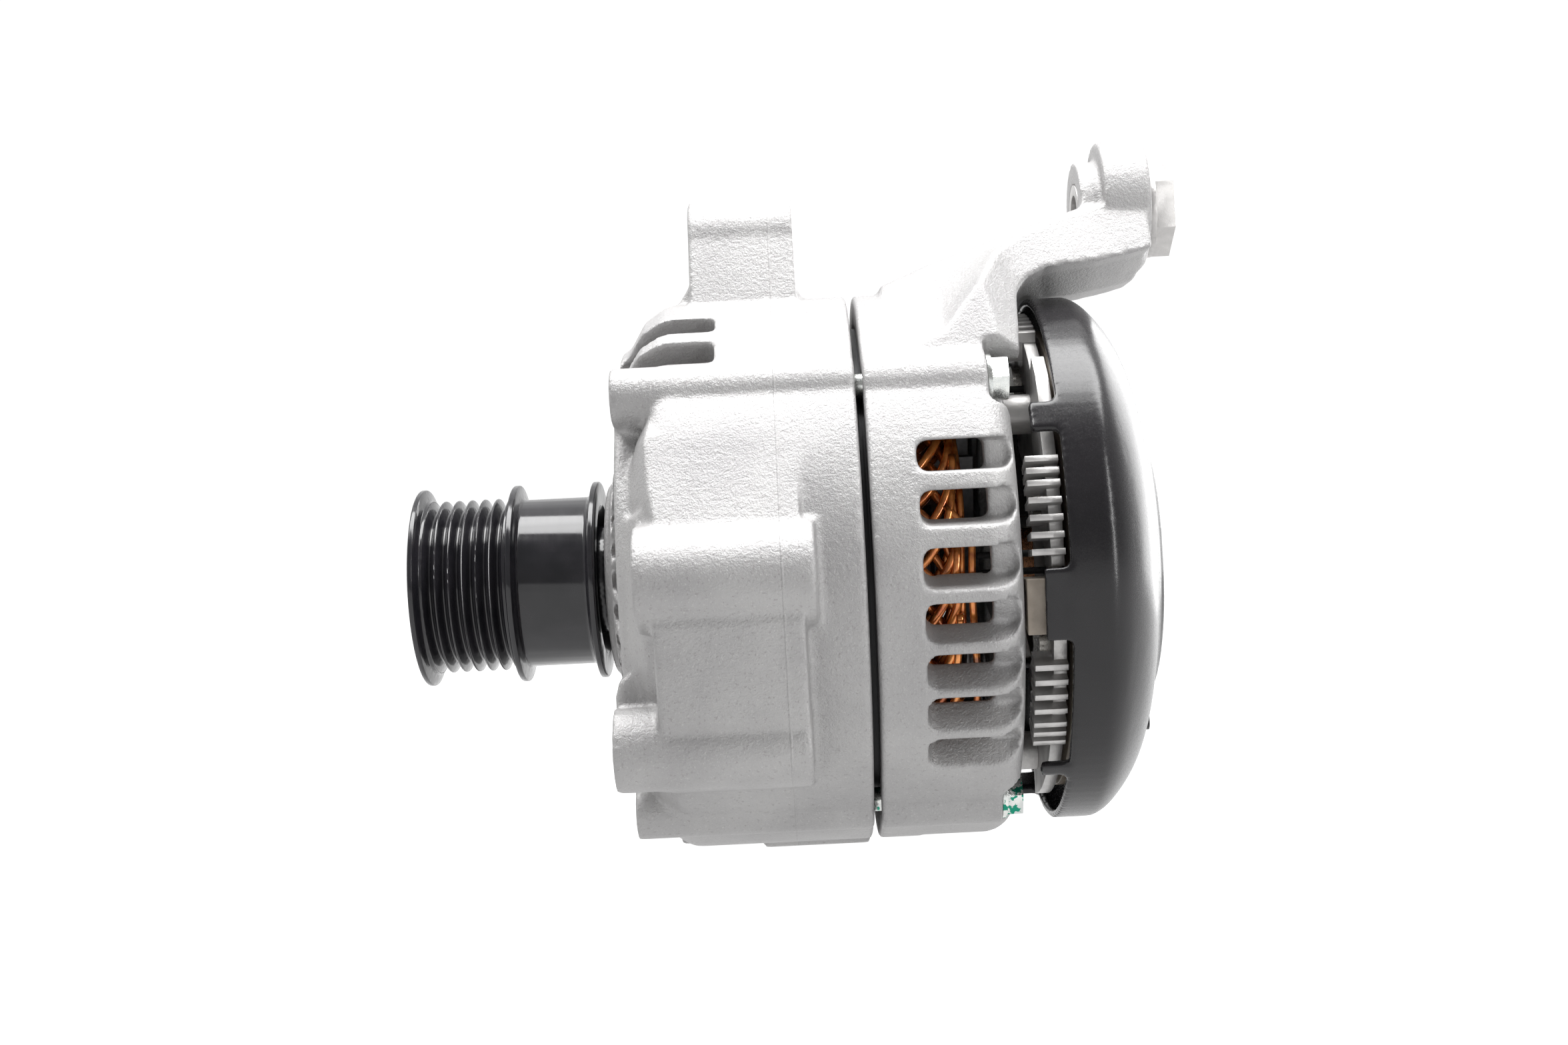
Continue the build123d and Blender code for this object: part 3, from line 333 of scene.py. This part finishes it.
def core_steel():
    """Varnished stack of thin sheets."""
    finish = Finish("core_steel", (0.03, 0.03, 0.032), 0.5, 0.45)
    sheets = finish.noise(0.5, 1.0, 0.5, stretch=(1.0, 0.01, 0.01))
    tone = finish.ramp(sheets, 0.4, 0.6)
    finish.colour(finish.blend(tone, (0.012, 0.012, 0.013), (0.05, 0.05, 0.052)))
    finish.roughness(finish.ramp(sheets, 0.4, 0.6, 0.35, 0.55))
    finish.bump(sheets, 0.08)
    return finish.material


def copper_enamel():
    """Enamelled copper wire, amber to deep orange, dark where the varnish is thick."""
    finish = Finish("copper_enamel", (0.62, 0.21, 0.05), 0.65, 0.24,
                    Coat_Weight=0.8, Coat_Roughness=0.1)
    cloud = finish.noise(4.0, 3.0)
    base = finish.blend(finish.ramp(cloud, 0.35, 0.65), (0.42, 0.09, 0.015), (0.90, 0.34, 0.08))
    varnish = finish.ramp(finish.noise(6.0, 2.0), 0.58, 0.70)
    finish.colour(finish.blend(finish.math("MULTIPLY", varnish, 0.7), base, (0.10, 0.035, 0.012)))
    finish.roughness(finish.ramp(cloud, 0.3, 0.7, 0.14, 0.28))
    finish.bump(finish.noise(1.2), 0.02)
    return finish.material


def moulded(name, dark, light, rough):
    """A matt moulded or fibrous insulating material."""
    finish = Finish(name, light, 0.0, rough)
    finish.colour(finish.blend(finish.ramp(finish.noise(3.0, 4.0), 0.3, 0.7), dark, light))
    fine = finish.noise(0.4, 3.0)
    finish.roughness(finish.ramp(fine, 0.3, 0.7, rough * 0.85, min(1.0, rough * 1.2)))
    finish.bump(fine, 0.03)
    return finish.material


def make_materials():
    """One material for each slot of the record."""
    return {
        "cast_alloy": cast_alloy(),
        "machined_alloy": fin_alloy(),
        "black_steel": black_steel(),
        "zinc_steel": zinc_steel(),
        "bearing_steel": plain_steel("bearing_steel", (0.42, 0.42, 0.43), (0.60, 0.60, 0.61),
                                     0.2, 0.6),
        "cage_polymer": moulded("cage_polymer", (0.40, 0.31, 0.16), (0.56, 0.45, 0.26), 0.5),
        "rotor_steel": plain_steel("rotor_steel", (0.16, 0.16, 0.165), (0.30, 0.30, 0.31),
                                   0.42, 0.8),
        "core_steel": core_steel(),
        "copper_enamel": copper_enamel(),
        "copper": plain_steel("copper", (0.60, 0.28, 0.14), (0.80, 0.42, 0.24), 0.28, 0.4),
        "insulation": moulded("insulation", (0.42, 0.34, 0.22), (0.58, 0.49, 0.36), 0.6),
        "black_plastic": black_plastic(),
        "beige_plastic": moulded("beige_plastic", (0.20, 0.168, 0.135), (0.27, 0.232, 0.19), 0.45),
        "diode_cup": plain_steel("diode_cup", (0.45, 0.43, 0.40), (0.62, 0.60, 0.56), 0.3, 0.5),
        "seal_rubber": moulded("seal_rubber", (0.015, 0.015, 0.015), (0.03, 0.03, 0.03), 0.7),
        "carbon": moulded("carbon", (0.03, 0.03, 0.03), (0.07, 0.065, 0.06), 0.6),
    }


# ---- pieces refined from the CAD solids --------------------------------------------------------
def body_of_node(node):
    """The body that the record puts a node on."""
    for body, members in frame["record"]["behaviour"]["bodies"].items():
        if node in members:
            return body
    raise KeyError(node)


def slot_of_node(node):
    """The record's material slot of a node."""
    for part in frame["record"]["subparts"]:
        if part["node"] == node:
            return part["material_slot"]
    raise KeyError(node)


def finish_piece(piece, node, materials):
    """Puts a new piece in the scene in place of its CAD node."""
    slot = slot_of_node(node)
    piece.data.materials.clear()
    piece.data.materials.append(materials[slot])
    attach(piece, body_of_node(node))
    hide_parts(node)


def applied(piece):
    """Turns a piece's modifiers into its mesh."""
    graph = bpy.context.evaluated_depsgraph_get()
    mesh = bpy.data.meshes.new_from_object(piece.evaluated_get(graph))
    piece.modifiers.clear()
    old = piece.data
    piece.data = mesh
    bpy.data.meshes.remove(old)


def shade_smooth(mesh):
    mesh.polygons.foreach_set("use_smooth", [True] * len(mesh.polygons))


def copy_of(node, name):
    """A welded copy of a CAD node's mesh."""
    mesh = frame["nodes"][node].data.copy()
    shape = bmesh.new()
    shape.from_mesh(mesh)
    bmesh.ops.remove_doubles(shape, verts=shape.verts, dist=1e-6)
    shape.to_mesh(mesh)
    shape.free()
    mesh.name = name
    piece = bpy.data.objects.new(name, mesh)
    bpy.context.scene.collection.objects.link(piece)
    return piece


def soft_cast(node, name, voxel, rounds, materials):
    """A casting or moulding with soft edges: voxels of the CAD solid, smoothed."""
    piece = copy_of(node, name)
    remesh = piece.modifiers.new("remesh", "REMESH")
    remesh.mode = "VOXEL"
    remesh.voxel_size = voxel * MM
    remesh.use_smooth_shade = True
    smooth = piece.modifiers.new("smooth", "SMOOTH")
    smooth.factor = 0.5
    smooth.iterations = rounds
    applied(piece)
    shade_smooth(piece.data)
    finish_piece(piece, node, materials)


def bevelled(node, name, width, materials, segments=2, angle=28.0):
    """A turned or pressed piece with its sharp edges broken."""
    piece = copy_of(node, name)
    shade_smooth(piece.data)
    bevel = piece.modifiers.new("bevel", "BEVEL")
    bevel.width = width * MM
    bevel.segments = segments
    bevel.limit_method = "ANGLE"
    bevel.angle_limit = math.radians(angle)
    bevel.use_clamp_overlap = True
    bevel.harden_normals = True
    bevel.miter_outer = "MITER_ARC"
    applied(piece)
    finish_piece(piece, node, materials)


def pressed_spring(which, materials):
    """A brush spring: a smooth-shaded copy of its CAD node, with a mesh of its own."""
    node = which + "_brush_spring"
    piece = copy_of(node, which + "_spring_coil")
    shade_smooth(piece.data)
    finish_piece(piece, node, materials)
    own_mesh(piece)


# ---- the windings ---------------------------------------------------------------------------
def tube(shape, path, across, along, sides=8):
    """Sweeps a rounded flat wire along a list of points, with closed ends."""
    rings = []
    for index, point in enumerate(path):
        before = path[max(index - 1, 0)]
        after = path[min(index + 1, len(path) - 1)]
        run = (after - before).normalized()
        out = Vector((0.0, point.y, point.z)).normalized()
        side = run.cross(out).normalized()
        out = side.cross(run)
        loop = []
        for step in range(sides):
            angle = 2 * math.pi * (step + 0.5) / sides
            flat = Vector((math.copysign(abs(math.cos(angle)) ** 0.7, math.cos(angle)),
                           math.copysign(abs(math.sin(angle)) ** 0.7, math.sin(angle))))
            corner = point + side * flat.x * across / 2 + out * flat.y * along / 2
            loop.append(shape.verts.new(corner))
        rings.append(loop)
    for low, high in zip(rings, rings[1:]):
        for step in range(sides):
            after = (step + 1) % sides
            shape.faces.new((low[step], low[after], high[after], high[step]))
    shape.faces.new(list(reversed(rings[0])))
    shape.faces.new(rings[-1])


def polar(x, angle, radius):
    """A point at an angle round the shaft, counted from the -Y side upwards."""
    return Vector((x, -radius * math.cos(angle), radius * math.sin(angle)))


def crown(shape, x0, x1, radius, lean, chance):
    """One layer of end turns: each wire leaves its slot, slants round and dips towards the next."""
    reach = x1 - x0
    for slot in range(SLOTS):
        start = 2 * math.pi * (slot + chance.uniform(-0.08, 0.08)) / SLOTS
        top = reach * chance.uniform(0.60, 0.72)
        phase = chance.uniform(0.0, 6.0)
        path = []
        steps = 14
        for step in range(steps + 1):
            t = step / steps
            x = x0 + top * math.sin(math.pi * 0.5 * t) ** 0.9
            angle = start + lean * t ** 1.2
            path.append(polar(x, angle, radius + 0.3 * MM * math.sin(7 * t + phase)))
        tube(shape, path, 2.1 * MM, 2.5 * MM)


def jumper(shape, x, radius, first, last, chance):
    """A phase wire that runs round the top of the end turns between two angles in degrees."""
    steps = 24
    phase = chance.uniform(0.0, 6.0)
    path = []
    for step in range(steps + 1):
        t = step / steps
        rise = min(1.0, min(t, 1.0 - t) * 8.0)
        place = x - 6.0 * MM * (1.0 - rise) + 0.4 * MM * math.sin(9 * t + phase)
        path.append(polar(place, math.radians(first + (last - first) * t), radius))
    tube(shape, path, 1.8 * MM, 1.8 * MM)


def end_windings(materials):
    """Slot bars and both crowns of hairpin wire, standing for the plain CAD winding."""
    low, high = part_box("stator_winding")
    core_low, core_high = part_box("stator_core")
    outer = high.z
    chance = random.Random(7)
    shape = bmesh.new()
    pitch = 2 * math.pi / SLOTS
    radii = [outer - depth * MM for depth in WIRE_LAYERS]
    for layer, radius in enumerate(radii):
        for x_core, x_end in ((core_high.x, high.x), (core_low.x, low.x)):
            side = 1 if layer % 2 == 0 else -1
            crown(shape, x_core, x_end, radius, side * 2.6 * pitch, chance)
    for slot in range(SLOTS):
        angle = 2 * math.pi * slot / SLOTS
        for radius in radii:
            path = [polar(core_low.x - 0.5 * MM, angle, radius),
                    polar(core_high.x + 0.5 * MM, angle, radius)]
            tube(shape, path, 1.9 * MM, 2.5 * MM)
    for first, last, lift in ((-46, 14, -1.5), (-24, 48, 0.8), (70, 130, 0.0), (150, 205, 0.5),
                              (214, 290, -0.6)):
        jumper(shape, high.x - (3.3 + lift) * MM, outer - (2.6 + lift) * MM, first, last, chance)
    mesh = bpy.data.meshes.new("winding_wires")
    shape.to_mesh(mesh)
    shape.free()
    shade_smooth(mesh)
    piece = bpy.data.objects.new("winding_wires", mesh)
    bpy.context.scene.collection.objects.link(piece)
    finish_piece(piece, "stator_winding", materials)


# ---- the whole object --------------------------------------------------------------------------
make_camera()
make_studio()
materials = make_materials()
for node, cad in frame["nodes"].items():
    cad.data.materials.clear()
    cad.data.materials.append(materials[slot_of_node(node)])

soft_cast("front_housing", "front_casting", 0.9, 3, materials)
soft_cast("rear_housing", "rear_casting", 0.8, 3, materials)
soft_cast("rear_cover", "rear_cover_shell", 0.8, 4, materials)
bevelled("pulley_shell", "pulley_turned", 0.25, materials, 3, 20.0)
bevelled("pulley_hub", "pulley_hub_turned", 0.15, materials)
bevelled("arm_bushing", "arm_bushing_hex", 0.5, materials)
bevelled("through_bolts", "through_bolts_hex", 0.35, materials)
bevelled("negative_heat_sink", "negative_fins", 0.12, materials)
bevelled("terminal_plate", "terminal_plate_moulded", 0.2, materials)
bevelled("cover_nuts", "cover_nuts_hex", 0.3, materials)
bevelled("battery_nut", "battery_nut_hex", 0.4, materials)
bevelled("regulator", "regulator_moulded", 0.35, materials)
bevelled("battery_insulator", "battery_insulator_moulded", 0.4, materials)
pressed_spring("inner", materials)
pressed_spring("outer", materials)
end_windings(materials)
